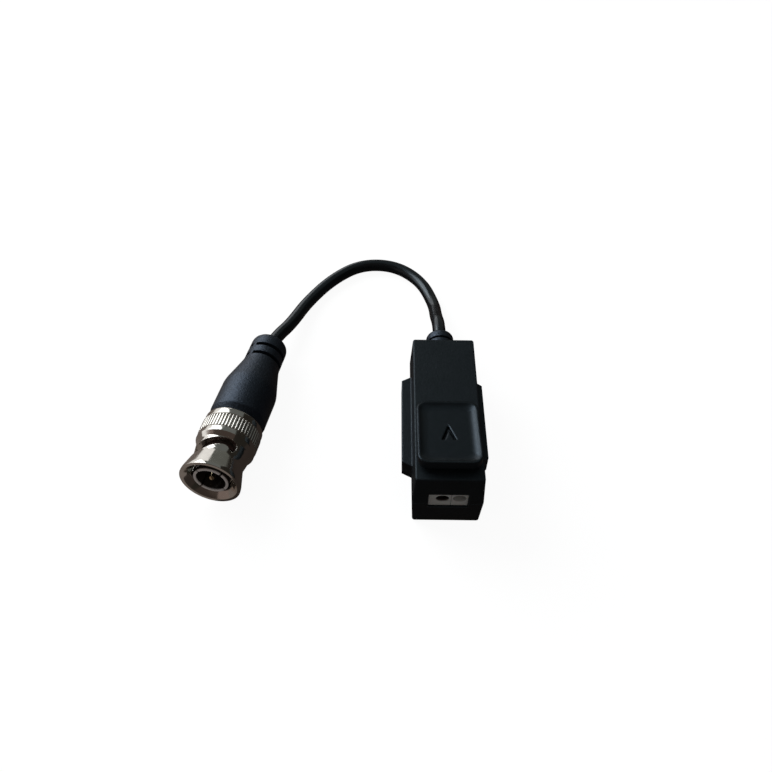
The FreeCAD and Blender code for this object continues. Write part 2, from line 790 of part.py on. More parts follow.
def terminal_block(name, x_low, x_high, x_pole, throat):
    body = new_body(name)
    base = rectangle(new_sketch(body, "XY_Plane", board_top), x_low, x_high, block_front, block_rear)
    pad(body, base, s.block_height)
    nose = new_sketch(body, "XZ_Plane", -block_front)
    rectangle(nose, x_low, x_high, s.window_bottom + s.nose_clearance, s.window_top - s.nose_clearance)
    pad(body, nose, block_front - nose_front)
    hole = new_sketch(body, "XZ_Plane", -nose_front)
    radius = s.wire_hole_height / 2
    low, high = s.wire_hole_z - radius, s.wire_hole_z + radius
    left, right = x_pole - s.wire_hole_width / 2 + radius, x_pole + s.wire_hole_width / 2 - radius
    closed_outline(hole, [(right, low), (right + radius, s.wire_hole_z, radius, "left"),
                          (right, high, radius, "left"), (left, high),
                          (left - radius, s.wire_hole_z, radius, "left"), (left, low, radius, "left")])
    pocket(body, hole, s.chamber_setback + s.wall)
    half = s.chamber_width / 2
    gullet = new_sketch(body, "XZ_Plane", -nose_front - throat)
    rectangle(gullet, x_pole - half, x_pole + half, low - s.throat_drop, high + s.nose_clearance)
    pocket(body, gullet, s.chamber_setback + s.wall - throat)
    chamber = new_sketch(body, "XY_Plane", board_top + s.block_height)
    rectangle(chamber, x_pole - half, x_pole + half, chamber_front, chamber_rear)
    pocket(body, chamber, s.block_height - s.block_floor)
    slot = new_sketch(body, "XY_Plane", chamber_floor)
    bar_slot(slot, x_pole)
    pocket(body, slot, s.block_floor)


def bar_slot(sketch, x_pole):
    """The slot that a contact bar's leg goes down through."""
    half_x = s.bar_width / 2 + s.bar_slot_clearance
    half_y = s.bar_thickness / 2 + s.bar_slot_clearance
    return rectangle(sketch, x_pole - half_x, x_pole + half_x, bar_leg_y - half_y, bar_leg_y + half_y)


def contact_bar(name, x_pole):
    """Tinned brass strip: a tongue that the wire lies on, then a leg down through the board."""
    x = x_pole.number
    leg_y, level = bar_leg_y.number, s.bar_height.number
    foot = s.board_height.number - s.bar_tail.number
    points = [Vector(x, leg_y - s.bar_reach.number, level), Vector(x, leg_y, level), Vector(x, leg_y, foot)]
    keep_shape(name, flat_strip(points, s.bar_bend.number, s.bar_width.number, s.bar_thickness.number))


def clamp_spring(name, x_pole):
    """Folded steel leaf: its foot lies on the chamber floor, its free leg presses the wire up."""
    x, half = x_pole.number, s.spring_thickness.number / 2
    level = chamber_floor.number + s.spring_seat_gap.number + half
    tip_z = s.spring_tip_z.number
    rear_face = bar_leg_y.number - s.bar_thickness.number / 2 - s.spring_rear_gap.number
    corner_y = rear_face - half + s.spring_heel.number
    foot_y = rear_face - s.spring_foot.number
    points = [Vector(x, foot_y, level), Vector(x, corner_y, level), Vector(x, foot_y + 2 * half, tip_z)]
    keep_shape(name, flat_strip(points, s.spring_bend.number, s.spring_width.number,
                                s.spring_thickness.number))


# Circuit board and its components

def circuit_board():
    body = new_body("circuit_board")
    side = inside_x - s.board_side_gap
    front = -(inside_y - s.board_end_gap)
    pad(body, rectangle(new_sketch(body, "XY_Plane", s.board_height), -side, side, front, s.board_rear_y),
        s.board_thickness)
    for x_pole in (s.pole_left_x, pole_right_x):
        pocket(body, bar_slot(new_sketch(body, "XY_Plane", board_top), x_pole), s.board_thickness)


def transformer():
    lift = s.turn_wire + s.turn_clearance * 2
    core = new_body("transformer_core")
    profile = new_sketch(core, "XZ_Plane")
    rectangle(profile, s.core_inner / 2, s.core_outer / 2, 0, s.core_height)
    ring = turned(core, profile)
    round_edges(core, ring, lambda e: True, s.core_edge_round)
    put(core, (0, s.core_y, board_top + lift))
    clear, wire = s.turn_clearance.number, s.turn_wire.number
    inner, outer, height = s.core_inner.number / 2, s.core_outer.number / 2, s.core_height.number
    reach = outer - inner + 2 * clear
    rise = height + 2 * clear
    around_core = Part.makeBox(reach + 2 * wire, wire, rise + 2 * wire,
                               Vector(inner - clear - wire, -wire / 2, -clear - wire))
    turn = around_core.cut(Part.makeBox(reach, wire * 3, rise,
                                        Vector(inner - clear, -1.5 * wire, -clear)))
    turns = []
    count = int(s.turns_each_side.number)
    for side_angle in (0, 180):
        for index in range(count):
            angle = side_angle + (index - (count - 1) / 2) * s.turn_step.number
            turns.append(turn.rotated(Vector(), UP, angle))
    winding = keep_shape("transformer_winding", Part.makeCompound(turns))
    put(winding, (0, s.core_y, board_top + lift))


def lying_cylinder(name, diameter, length, x, y, axis, angle):
    body = new_body(name)
    sketch = circle(new_sketch(body, "XY_Plane"), 0, 0, diameter / 2)
    pad(body, sketch, length, both_sides=True)
    put(body, (x, y, board_top + diameter / 2), axis, angle)


def capacitor():
    body = new_body("capacitor")
    half_x, half_y = s.capacitor_width / 2, s.capacitor_length / 2
    block = pad(body, rectangle(new_sketch(body, "XY_Plane"), -half_x, half_x, -half_y, half_y),
                s.capacitor_height)
    round_edges(body, block, lambda e: not on_level(e, "z", as_size(0)), s.capacitor_edge_round)
    put(body, (-s.rear_parts_x, s.rear_parts_y, board_top))


def coax_lead(name, side):
    """An insulated lead from the bush's inner face, forward and down to the board."""
    x, level = s.lead_x.number * side, s.seam_height.number
    start = Vector(x, (inside_y - s.gland_flange).number, level)
    drop_y = s.lead_drop_y.number
    path, _ = tangent_path([start, Vector(x, drop_y, level), Vector(x, drop_y, board_top.number)],
                           bends=s.lead_bend.number)
    keep_shape(name, round_bar(path, start, Vector(0, -1, 0), s.lead_diameter.number / 2))


# Strain relief bush, turned about the cable's axis

def cable_gland():
    body = new_body("cable_gland")
    profile = new_sketch(body, "XY_Plane")
    inner, wall_in, wall_out = inside_y - s.gland_flange, inside_y, half_length + s.seam_swell
    groove_end = gland_end - s.gland_disc
    groove_start = groove_end - s.gland_groove_width
    groove_r = s.gland_radius - s.gland_groove_depth
    corner = s.gland_end_radius
    closed_outline(profile, [
        (0, inner), (s.gland_flange_radius, inner), (s.gland_flange_radius, wall_in),
        (s.gland_neck_radius, wall_in), (s.gland_neck_radius, wall_out), (s.gland_radius, wall_out), (s.gland_radius, groove_start),
        (groove_r, groove_start), (groove_r, groove_end), (s.gland_radius, groove_end),
        (s.gland_radius, gland_end - corner), (s.gland_radius - corner, gland_end, corner, "left"),
        (0, gland_end)])
    turned(body, profile)
    put(body, (0, 0, s.seam_height))


# Coaxial lead: straight runs joined by arcs, from the bush to the boot

def cable():
    rearward = plug_place.Rotation.multVec(Vector(0, 1, 0))
    boot_end = plug_place.Base + rearward * s.boot_end.number
    gland_face = Vector(0, gland_end.number, s.seam_height.number)
    lying = s.cable_radius.number + s.cable_lift.number
    straight_out = s.cable_straight.number
    route = [gland_face, gland_face + Vector(0, straight_out, 0), Vector(0.5, 40.7, 5.3),
             Vector(-0.1, 49.4, lying), Vector(-4.0, 58.6, lying), Vector(-12.1, 64.5, lying),
             Vector(-22.1, 65.0, lying), Vector(-30.9, 60.1, lying), Vector(-37.0, 49.9, lying),
             Vector(-41.0, 39.2, 4.1), boot_end + rearward * straight_out, boot_end]
    path, radii = tangent_path(route)
    lead = round_bar(path, gland_face, Vector(0, 1, 0), s.cable_radius.number)
    expected = math.pi * s.cable_radius.number ** 2 * path.Length
    print("cable bend radii:", [round(radius, 1) for radius in radii])
    print("cable length %.1f, volume %.2f against %.2f" % (path.Length, lead.Volume, expected))
    keep_shape("cable", lead)


# Plug pieces: each is turned about its own Y axis, station 0 at the mouth

def seat_on_plug_axis(body):
    """Binds a plug piece to the plug's place: turned in plan by the yaw, then rear end down by the tilt."""
    body.Placement = plug_place
    body.setExpression("Placement", "placement(vector(%s; %s; %s); rotation(-%s; 0; -%s))" % (
        s.plug_x.text, s.plug_y.text, plug_height.text, s.plug_yaw.text, s.plug_tilt.text))


def turned_piece(name, corners):
    body = new_body(name)
    ring = turned(body, closed_outline(new_sketch(body, "XY_Plane"), corners))
    seat_on_plug_axis(body)
    return body, ring


def coupling_sleeve():
    rim, shoulder = s.sleeve_rim_radius, s.sleeve_shoulder_radius
    lip_end = s.sleeve_lip_start + s.sleeve_lip_thickness
    soft = s.sleeve_edge_round
    lip_radius = s.hub_radius + s.hub_clearance
    body, _ = turned_piece("coupling_sleeve", [
        (s.sleeve_mouth_radius, 0), (rim - soft, 0), (rim, soft, soft, "left"),
        (rim, s.sleeve_rim_width - soft), (rim - soft, s.sleeve_rim_width, soft, "left"),
        (s.sleeve_neck_radius, s.sleeve_neck_start), (s.sleeve_neck_radius, s.sleeve_shoulder),
        (shoulder - soft, s.sleeve_shoulder), (shoulder, s.sleeve_shoulder + soft, soft, "left"),
        (shoulder, s.sleeve_length - soft), (shoulder - soft, s.sleeve_length, soft, "left"),
        (s.sleeve_rear_bore_radius, s.sleeve_length), (s.sleeve_rear_bore_radius, lip_end),
        (lip_radius, lip_end), (lip_radius, s.sleeve_lip_start),
        (s.sleeve_bore_radius, s.sleeve_lip_start), (s.sleeve_bore_radius, s.sleeve_mouth_depth)])
    groove_plane = new_sketch(body, "XZ_Plane", -s.knurl_end)
    half_angle = HALF_TURN / s.knurl_ribs * s.knurl_groove_share
    out = shoulder + s.knurl_depth
    root = shoulder - s.knurl_depth
    half_width = shoulder * sine(half_angle) * 2
    closed_outline(groove_plane, [(0, root), (half_width, out), (-half_width, out)])
    groove = pocket(body, groove_plane, s.knurl_end - s.knurl_start, reverse=True)
    around(body, [groove], s.knurl_ribs)
    slot_start_angle = s.slot_middle_angle - s.slot_sweep / 2
    slot = new_sketch(body, "XY_Plane", 0, turn=(Vector(0, -1, 0), slot_start_angle))
    rectangle(slot, s.sleeve_bore_radius - s.knurl_depth, s.sleeve_rim_radius, s.slot_start,
              s.slot_start + s.slot_width)
    cut = turned(body, slot, sweep=s.slot_sweep, cut=True)
    cut.Reversed = True
    around(body, [cut], 2)
    entry = new_sketch(body, "XY_Plane", 0, turn=(Vector(0, -1, 0), s.entry_groove_angle))
    rectangle(entry, 0, s.sleeve_bore_radius + s.entry_groove_depth, -s.sleeve_edge_round,
              s.slot_start + s.slot_width)
    channel = pocket(body, entry, s.entry_groove_width, both_sides=True)
    around(body, [channel], 2)


def wave_washer(start):
    """A thin spring washer whose waves touch the flange and the thrust washer by turns."""
    swing = (s.wave_washer_height.number - s.wave_washer_thickness.number) / 2
    middle = start.number + s.wave_washer_height.number / 2
    waves = int(s.wave_washer_waves.number)
    steps = waves * WAVE_STEPS

    def rim(radius, offset):
        spots = []
        for step in range(steps):
            angle = 2 * math.pi * step / steps
            station = middle + offset + swing * math.cos(waves * angle)
            spots.append(Vector(radius * math.cos(angle), station, radius * math.sin(angle)))
        curve = Part.BSplineCurve()
        curve.interpolate(spots, PeriodicFlag=True)
        return curve.toShape()

    half = s.wave_washer_thickness.number / 2
    inner, outer = s.wave_washer_inner.number, s.wave_washer_outer.number
    loop = [rim(inner, -half), rim(outer, -half), rim(outer, half), rim(inner, half)]
    faces = [Part.makeRuledSurface(edge, loop[(index + 1) % len(loop)]) for index, edge in enumerate(loop)]
    solid = Part.makeSolid(Part.makeShell(faces))
    if solid.Volume < 0:
        solid.reverse()
    seat_on_plug_axis(keep_shape("wave_washer", solid))


def plug_pieces():
    flange_end = s.body_flange_end
    wave_start = flange_end + s.washer_gap
    thrust_start = wave_start + s.wave_washer_height + s.washer_gap
    lip_end = s.sleeve_lip_start + s.sleeve_lip_thickness
    ring_start = lip_end + s.washer_gap
    ring_end = ring_start + s.ring_thickness
    groove_low, groove_high = ring_start - s.washer_gap / 2, ring_end + s.washer_gap / 2
    groove_r = s.hub_radius - s.ring_groove_depth
    turned_piece("plug_body", [
        (s.body_bore_radius, s.body_flange_start), (s.body_flange_radius, s.body_flange_start),
        (s.body_flange_radius, flange_end), (s.hub_radius, flange_end), (s.hub_radius, groove_low),
        (groove_r, groove_low), (groove_r, groove_high), (s.hub_radius, groove_high),
        (s.hub_radius, s.hub_end), (s.barrel_radius, s.hub_end), (s.barrel_radius, s.barrel_end),
        (s.cable_bore_radius, s.barrel_end), (s.cable_bore_radius, s.body_bore_end),
        (s.body_bore_radius, s.body_bore_end)])
    gasket_front = s.contact_base - s.gasket_thickness
    gasket_seat = s.contact_outer_radius - s.gasket_seat_depth
    contact, _ = turned_piece("outer_contact", [
        (s.contact_inner_radius, s.contact_front), (s.contact_outer_radius, s.contact_front),
        (s.contact_outer_radius, gasket_front), (gasket_seat, gasket_front),
        (gasket_seat, s.contact_base), (s.body_flange_radius, s.contact_base),
        (s.body_flange_radius, s.body_flange_start), (s.body_bore_radius, s.body_flange_start),
        (s.body_bore_radius, s.contact_base), (s.contact_inner_radius, s.contact_base)])
    slit = new_sketch(contact, "XY_Plane", 0, turn=(Vector(0, -1, 0), s.contact_slit_turn))
    rectangle(slit, 0, s.contact_outer_radius + s.contact_slit_width, 0,
              s.contact_front + s.contact_slit_length)
    cut = pocket(contact, slit, s.contact_slit_width, both_sides=True)
    around(contact, [cut], s.contact_slits)
    gasket_inner = gasket_seat + s.hub_clearance
    turned_piece("plug_gasket", [
        (gasket_inner, gasket_front), (s.gasket_radius, gasket_front),
        (s.gasket_radius, s.contact_base), (gasket_inner, s.contact_base)])
    wave_washer(wave_start)
    washer_inner = s.hub_radius + s.hub_clearance
    turned_piece("thrust_washer", [
        (washer_inner, thrust_start), (s.thrust_washer_outer, thrust_start),
        (s.thrust_washer_outer, thrust_start + s.thrust_washer_thickness),
        (washer_inner, thrust_start + s.thrust_washer_thickness)])
    ring_inner = groove_r + s.washer_gap
    circlip, _ = turned_piece("retaining_ring", [
        (ring_inner, ring_start), (s.ring_outer, ring_start), (s.ring_outer, ring_end),
        (ring_inner, ring_end)])
    gap = new_sketch(circlip, "XY_Plane", 0, turn=(Vector(0, -1, 0), s.ring_gap_turn))
    rectangle(gap, ring_inner - s.washer_gap, s.ring_outer + s.washer_gap, ring_start - s.washer_gap,
              ring_end + s.washer_gap)
    turned(circlip, gap, sweep=s.ring_gap, cut=True)
    gap_i = s.insulator_gap
    bore_shank = s.pin_shank_radius + gap_i
    turned_piece("plug_insulator", [
        (bore_shank, s.insulator_front), (s.contact_inner_radius - gap_i, s.insulator_front),
        (s.contact_inner_radius - gap_i, s.contact_base - gap_i),
        (s.body_bore_radius - gap_i, s.contact_base - gap_i),
        (s.body_bore_radius - gap_i, s.body_bore_end - gap_i), (bore_shank, s.body_bore_end - gap_i)])
    tip = s.pin_radius
    turned_piece("centre_pin", [
        (0, s.pin_front), (tip, s.pin_front + tip, tip, "left"), (tip, pin_shoulder),
        (s.pin_shank_radius, pin_shoulder), (s.pin_shank_radius, s.pin_end), (0, s.pin_end)])
    turned_piece("coax_tail", [
        (0, s.pin_end), (s.core_stub_radius, s.pin_end), (s.core_stub_radius, s.body_bore_end + s.washer_gap),
        (s.tail_radius, s.body_bore_end + s.washer_gap), (s.tail_radius, s.ferrule_end), (0, s.ferrule_end)])
    turned_piece("crimp_ferrule", [
        (s.barrel_radius + gap_i, s.ferrule_start), (s.ferrule_radius, s.ferrule_start),
        (s.ferrule_radius, s.ferrule_end), (s.barrel_radius + gap_i, s.ferrule_end)])


def boot():
    front = s.sleeve_length + s.boot_gap
    socket = s.ferrule_radius + s.insulator_gap
    socket_end = s.ferrule_end + s.insulator_gap
    shoulder_z, round_r = s.boot_corner, s.boot_corner_round
    taper = slope(s.boot_corner_radius - s.boot_mid_radius, s.boot_mid_station - s.boot_corner)
    tip = s.boot_end_round
    body, _ = turned_piece("boot", [
        (socket, front), (s.boot_radius, front), (s.boot_corner_radius, shoulder_z - round_r),
        (s.boot_corner_radius - round_r * (1 - cosine(taper)), shoulder_z - round_r + round_r * sine(taper),
         round_r, "left"),
        (s.boot_mid_radius, s.boot_mid_station), (s.boot_collar_radius, s.boot_collar_start),
        (s.boot_end_radius, s.boot_end - tip), (s.boot_end_radius - tip, s.boot_end, tip, "left"),
        (0, s.boot_end), (0, socket_end), (socket, socket_end)])
    depth_r = s.boot_end_radius - s.relief_depth
    for station in (s.relief_first, s.relief_second):
        slit = new_sketch(body, "XY_Plane", 0, turn=(Vector(0, -1, 0), s.relief_web_turn))
        rectangle(slit, depth_r, s.boot_radius, station, station + s.relief_width)
        cut = turned(body, slit, sweep=s.relief_sweep, cut=True)
        cut.Reversed = True
        around(body, [cut], 2)


upper_shell()
lower_shell()
press_key()
terminal_block("terminal_block_left", s.window_left + s.nose_clearance,
               s.block_split - s.nose_clearance / 2, s.pole_left_x, s.left_throat)
terminal_block("terminal_block_right", s.block_split + s.nose_clearance / 2,
               s.window_right - s.nose_clearance, pole_right_x, s.right_throat)
for side_name, pole in (("left", s.pole_left_x), ("right", pole_right_x)):
    contact_bar("contact_bar_" + side_name, pole)
    clamp_spring("clamp_spring_" + side_name, pole)
circuit_board()
transformer()
lying_cylinder("surge_protector", s.surge_diameter, s.surge_length, 0, s.surge_y,
               Vector(0, 1, 0), RIGHT_ANGLE)
lying_cylinder("resistor", s.resistor_diameter, s.resistor_length, s.rear_parts_x, s.rear_parts_y,
               Vector(1, 0, 0), RIGHT_ANGLE)
capacitor()
coax_lead("coax_core_lead", 1)
coax_lead("coax_shield_lead", -1)
cable_gland()
cable()
coupling_sleeve()
plug_pieces()
boot()
doc.recompute()

# Every object is sound, every cut takes material away, and then each sub-part is written

for item in doc.Objects:
    if {"Invalid", "Error"} & set(item.State):
        raise RuntimeError("%s did not compute: %s" % (item.Label, item.State))
for body in SUB_PARTS:
    if body.TypeId != "PartDesign::Body":
        continue
    volume = 0.0
    for feature in body.Group:
        if not feature.isDerivedFrom("PartDesign::Feature") or feature.Shape.isNull():
            continue
        removes = any(word in feature.TypeId for word in ("Pocket", "Groove", "Subtractive"))
        change = feature.Shape.Volume - volume
        if removes and change > -1e-4:
            raise RuntimeError("%s cuts nothing" % feature.Label)
        volume = feature.Shape.Volume
for item in SUB_PARTS:
    shape = item.Shape
    if shape.isNull() or not shape.isValid():
        raise RuntimeError("%s has no valid solid" % item.Label)
    if len(shape.Solids) != 1 and item.Label != "transformer_winding":
        raise RuntimeError("%s has %d solids" % (item.Label, len(shape.Solids)))
    shape.exportStep("parts/%s.step" % item.Label)
    print("%-22s %8.2f mm3" % (item.Label, shape.Volume))
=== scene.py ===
import math

import bmesh
import bpy
from mathutils import Euler, Matrix, Vector


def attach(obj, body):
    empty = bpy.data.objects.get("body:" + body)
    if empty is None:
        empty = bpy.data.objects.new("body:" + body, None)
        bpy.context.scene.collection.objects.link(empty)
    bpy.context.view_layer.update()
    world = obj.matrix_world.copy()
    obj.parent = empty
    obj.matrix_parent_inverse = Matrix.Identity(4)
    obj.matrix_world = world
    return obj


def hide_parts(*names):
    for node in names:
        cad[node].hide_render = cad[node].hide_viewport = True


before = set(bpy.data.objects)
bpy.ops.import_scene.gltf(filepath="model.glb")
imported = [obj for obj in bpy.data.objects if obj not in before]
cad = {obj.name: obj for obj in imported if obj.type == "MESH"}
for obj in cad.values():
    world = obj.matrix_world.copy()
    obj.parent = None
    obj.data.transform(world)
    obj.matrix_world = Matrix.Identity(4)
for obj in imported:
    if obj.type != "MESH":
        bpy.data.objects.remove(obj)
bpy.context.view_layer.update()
MM = 0.001


# Camera
# It looks down on the balun from in front, as a hand-held camera does over a table.
# Its place, turns and lens were worked out from the housing's straight edges.
eye = Vector((-13.62, -101.27, 147.02)) * MM
look_down, look_left, lean = math.radians(50.626), math.radians(0.209), math.radians(0.553)
sensor_width, lens_length = 36.0, 33.386
camera_data = bpy.data.cameras.new("camera")
camera_data.sensor_width = sensor_width
camera_data.lens = lens_length
camera = bpy.data.objects.new("camera", camera_data)
camera.matrix_world = (
    Matrix.Translation(eye) @ Matrix.Rotation(look_left, 4, "Z")
    @ Matrix.Rotation(math.pi / 2 - look_down, 4, "X") @ Matrix.Rotation(lean, 4, "Z"))
bpy.context.scene.collection.objects.link(camera)
bpy.context.scene.camera = camera
bpy.context.scene.view_settings.view_transform = "Standard"


# Studio
# A white table under a white surround, a window of soft light behind and to the left, a weak
# lamp in front, and dark cards that only bright metal and gloss see, as a product studio has.
def new_material(name):
    """A named material with the usual shader."""
    material = bpy.data.materials.new(name)
    material.use_nodes = True
    return material


def step(tree, kind, inputs=None, **settings):
    """One node of a tree: its settings, then its inputs as values or as other nodes' outputs."""
    node = tree.nodes.new(kind)
    for setting, value in settings.items():
        setattr(node, setting, value)
    for socket, value in (inputs or {}).items():
        if isinstance(value, bpy.types.NodeSocket):
            tree.links.new(value, node.inputs[socket])
        else:
            node.inputs[socket].default_value = value
    return node


def ranged(tree, amount, start, end, low=0.0, high=1.0):
    """Goes from low to high while the amount goes from start to end."""
    return step(tree, "ShaderNodeMapRange", {
        "Value": amount, "From Min": start, "From Max": end,
        "To Min": low, "To Max": high}).outputs[0]


def seen_white(tree):
    """1 for the rays that see the backdrop: from the camera, a reflection or through glass."""
    path = step(tree, "ShaderNodeLightPath")
    either = step(tree, "ShaderNodeMath", {
        0: path.outputs["Is Camera Ray"], 1: path.outputs["Is Glossy Ray"]}, operation="MAXIMUM")
    return step(tree, "ShaderNodeMath", {
        0: either.outputs[0], 1: path.outputs["Is Transmission Ray"]},
        operation="MAXIMUM").outputs[0]


surround_light, surround_seen = 0.16, 1.0
world = bpy.data.worlds.new("surround")
world.use_nodes = True
bpy.context.scene.world = world
surround = world.node_tree
surround.links.new(
    ranged(surround, seen_white(surround), 0.0, 1.0, surround_light, surround_seen),
    surround.nodes["Background"].inputs["Strength"])
surround.nodes["Background"].inputs["Color"].default_value = (1.0, 1.0, 1.0, 1.0)


def flat_panel(name, centre, across, up, material):
    """A flat rectangle given by its middle and its two half sides."""
    centre, across, up = Vector(centre), Vector(across), Vector(up)
    corners = [centre - across - up, centre + across - up,
               centre + across + up, centre - across + up]
    mesh = bpy.data.meshes.new(name)
    mesh.from_pydata([tuple(corner) for corner in corners], [], [(0, 1, 2, 3)])
    mesh.materials.append(material)
    panel = bpy.data.objects.new(name, mesh)
    bpy.context.scene.collection.objects.link(panel)
    return panel


table_half, table_grey, table_glow = 3.0, 0.22, 0.93
table_white = new_material("table_white")
tree = table_white.node_tree
matte = step(tree, "ShaderNodeBsdfDiffuse", {"Color": (table_grey, table_grey, table_grey, 1.0)})
bright = step(tree, "ShaderNodeEmission", {
    "Color": (1.0, 1.0, 1.0, 1.0), "Strength": table_glow})
both = step(tree, "ShaderNodeAddShader", {0: matte.outputs[0], 1: bright.outputs[0]})
seen = step(tree, "ShaderNodeMixShader", {
    0: seen_white(tree), 1: matte.outputs[0], 2: both.outputs[0]})
tree.links.new(seen.outputs[0], tree.nodes["Material Output"].inputs["Surface"])
flat_panel("table", (0, 0, 0), (table_half, 0, 0), (0, table_half, 0), table_white)


middle = Vector((-0.02, 0.02, 0.005))


def soft_lamp(name, from_middle, width, height, power, colour):
    """A rectangular lamp that faces the middle of the balun."""
    data = bpy.data.lights.new(name, "AREA")
    data.shape = "RECTANGLE"
    data.size, data.size_y = width, height
    data.energy = power
    data.color = colour
    lamp = bpy.data.objects.new(name, data)
    lamp.location = middle + Vector(from_middle)
    lamp.rotation_mode = "QUATERNION"
    lamp.rotation_quaternion = (middle - lamp.location).to_track_quat("-Z", "Y")
    bpy.context.scene.collection.objects.link(lamp)
    return lamp


soft_lamp("window", (-0.37, 0.31, 0.38), width=0.46, height=0.36, power=1.6,
          colour=(0.93, 0.97, 1.0))
fill = soft_lamp("fill", (0.25, -0.5, 0.35), width=0.5, height=0.5, power=0.16,
                 colour=(1.0, 0.98, 0.95))
fill.visible_glossy = False

# Each card's middle, its two half sides, and its colour as a reflection shows it. Nothing but
# a reflection sees a card, and no card lights the balun or shades it. The two cards under the
# plug stand for the table, and the right one is darker, a painted shadow of the plug.
dark_cards = {
    "card_above": ((0.15, 0.72, 0.9), (1.3, 0, 0), (0, 0.68, 0), (0.13, 0.14, 0.135)),
    "card_overhead": ((0.15, -0.58, 0.9), (1.3, 0, 0), (0, 0.62, 0), (0.062, 0.047, 0.04)),
    "card_right": ((0.7, 0.3, 0.4), (0.25, 1.3, 0), (0, 0, 0.5), (0.02, 0.018, 0.015)),
    "card_back": ((0.65, 1.1, 0.4), (0.8, 0, 0), (0, 0, 0.5), (0.12, 0.125, 0.115)),
    "card_front": ((0.1, -0.9, 0.4), (1.3, 0, 0), (0, 0, 0.5), (0.04, 0.03, 0.026)),
    "card_left": ((-0.95, -0.75, 0.45), (0, 0.75, 0), (0, 0, 0.5), (0.2, 0.155, 0.14)),
    "card_below_left": ((-0.454, -0.1, 0.0002), (0.4, 0, 0), (0, 0.9, 0),
                        (0.17, 0.145, 0.132)),
    "card_below_right": ((0.346, -0.1, 0.0002), (0.4, 0, 0), (0, 0.9, 0),
                         (0.032, 0.025, 0.022))}
for name, (centre, across, up, colour) in dark_cards.items():
    card_board = new_material(name)
    shader = card_board.node_tree.nodes["Principled BSDF"]
    shader.inputs["Base Color"].default_value = (0.0, 0.0, 0.0, 1.0)
    shader.inputs["Specular IOR Level"].default_value = 0.0
    shader.inputs["Emission Color"].default_value = (*colour, 1.0)
    shader.inputs["Emission Strength"].default_value = 1.0
    card = flat_panel(name, centre, across, up, card_board)
    card.visible_camera = False
    card.visible_diffuse = False
    card.visible_transmission = False
    card.visible_shadow = False


# Cable
# A short coaxial lead with a smooth black vinyl jacket, bent by hand into a hook and left to
# lie. It is moulded into the bush at the housing and into the boot at the plug.
cable_diameter = 3.5 * MM
cable_route = [
    (0.0, 29.7, 8.2), (0.0, 34.35, 8.2), (-0.43, 40.6, 5.12), (-0.48, 48.4, 1.8),
    (-3.98, 58.38, 1.8), (-11.9, 65.25, 1.8), (-22.06, 65.53, 1.8), (-30.25, 59.1, 1.8),
    (-37.1, 49.16, 1.8), (-40.75, 38.1, 3.8), (-43.75, 32.1, 5.25), (-45.05, 28.39, 5.63)]


def in_millimetres(tree, centre=(0.0, 0.0, 0.0), turn=(0.0, 0.0, 0.0)):
    """A place on a piece, in millimetres from a centre and along turned axes."""
    place = step(tree, "ShaderNodeTexCoord")
    return step(tree, "ShaderNodeMapping", {
        "Vector": place.outputs["Object"], "Location": centre, "Rotation": turn,
        "Scale": (MM, MM, MM)}, vector_type="TEXTURE").outputs["Vector"]


def noise(tree, where, size, detail=2.0, rough=0.5):
    """Noise whose spots are about that many millimetres across."""
    return step(tree, "ShaderNodeTexNoise", {
        "Vector": where, "Scale": 1.0 / size, "Detail": detail,
        "Roughness": rough}).outputs["Fac"]


def between(tree, spots, low, high):
    """From low to high over the range that noise mostly keeps to."""
    return ranged(tree, spots, 0.3, 0.7, low, high)


def relief(tree, height, depth, under=None):
    """A bump of that depth in millimetres, laid over another one if given."""
    inputs = {"Height": height, "Distance": depth * MM, "Strength": 1.0}
    if under is not None:
        inputs["Normal"] = under
    return step(tree, "ShaderNodeBump", inputs).outputs["Normal"]


def two_tone(tree, amount, dark, light):
    """Colour that drifts between two near shades."""
    mixed = step(tree, "ShaderNodeMix", {"Factor": amount}, data_type="RGBA")
    mixed.inputs["A"].default_value = (*dark, 1.0)
    mixed.inputs["B"].default_value = (*light, 1.0)
    return mixed.outputs["Result"]


def surface(material, values, **varied):
    """Sets the shader's own sockets, and joins what varies over the piece."""
    tree = material.node_tree
    shader = tree.nodes["Principled BSDF"]
    for socket, value in values.items():
        shader.inputs[socket].default_value = value
    for socket, source in varied.items():
        tree.links.new(source, shader.inputs[socket.replace("_", " ")])
    return material


vinyl_gloss = new_material("vinyl_gloss")
tree = vinyl_gloss.node_tree
where = in_millimetres(tree)
surface(
    vinyl_gloss,
    {"Specular IOR Level": 0.5, "Specular Tint": (0.7, 0.88, 1.0, 1.0), "Coat Weight": 0.35,
     "Coat Roughness": 0.12},
    Base_Color=two_tone(tree, between(tree, noise(tree, where, 6.0), 0.0, 1.0),
                        (0.005, 0.0063, 0.0078), (0.0085, 0.0108, 0.013)),
    Roughness=between(tree, noise(tree, where, 1.5, detail=4.0), 0.2, 0.32),
    Normal=relief(tree, noise(tree, where, 2.6, detail=1.0), 0.012,
                  relief(tree, noise(tree, where, 0.3), 0.0012)))

line = bpy.data.curves.new("cable_jacket", "CURVE")
line.dimensions = "3D"
line.resolution_u = 24
line.bevel_depth = cable_diameter / 2
line.bevel_resolution = 10
line.use_fill_caps = True
spline = line.splines.new("NURBS")
spline.points.add(len(cable_route) - 1)
for point, (x, y, z) in zip(spline.points, cable_route):
    point.co = (x * MM, y * MM, z * MM, 1.0)
spline.order_u = 3
spline.use_endpoint_u = True
line.materials.append(vinyl_gloss)
cable_jacket = bpy.data.objects.new("cable_jacket", line)
bpy.context.scene.collection.objects.link(cable_jacket)
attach(cable_jacket, "root")
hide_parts("cable")


# Strain relief bush
# A round vinyl bush moulded onto the lead and trapped between the two housing shells.
# Its rounded end disc stands out of the rear wall past one groove.
def dress(material, *names):
    """Gives carried-over solids their finish."""
    for name in names:
        cad[name].material_slots[0].material = material


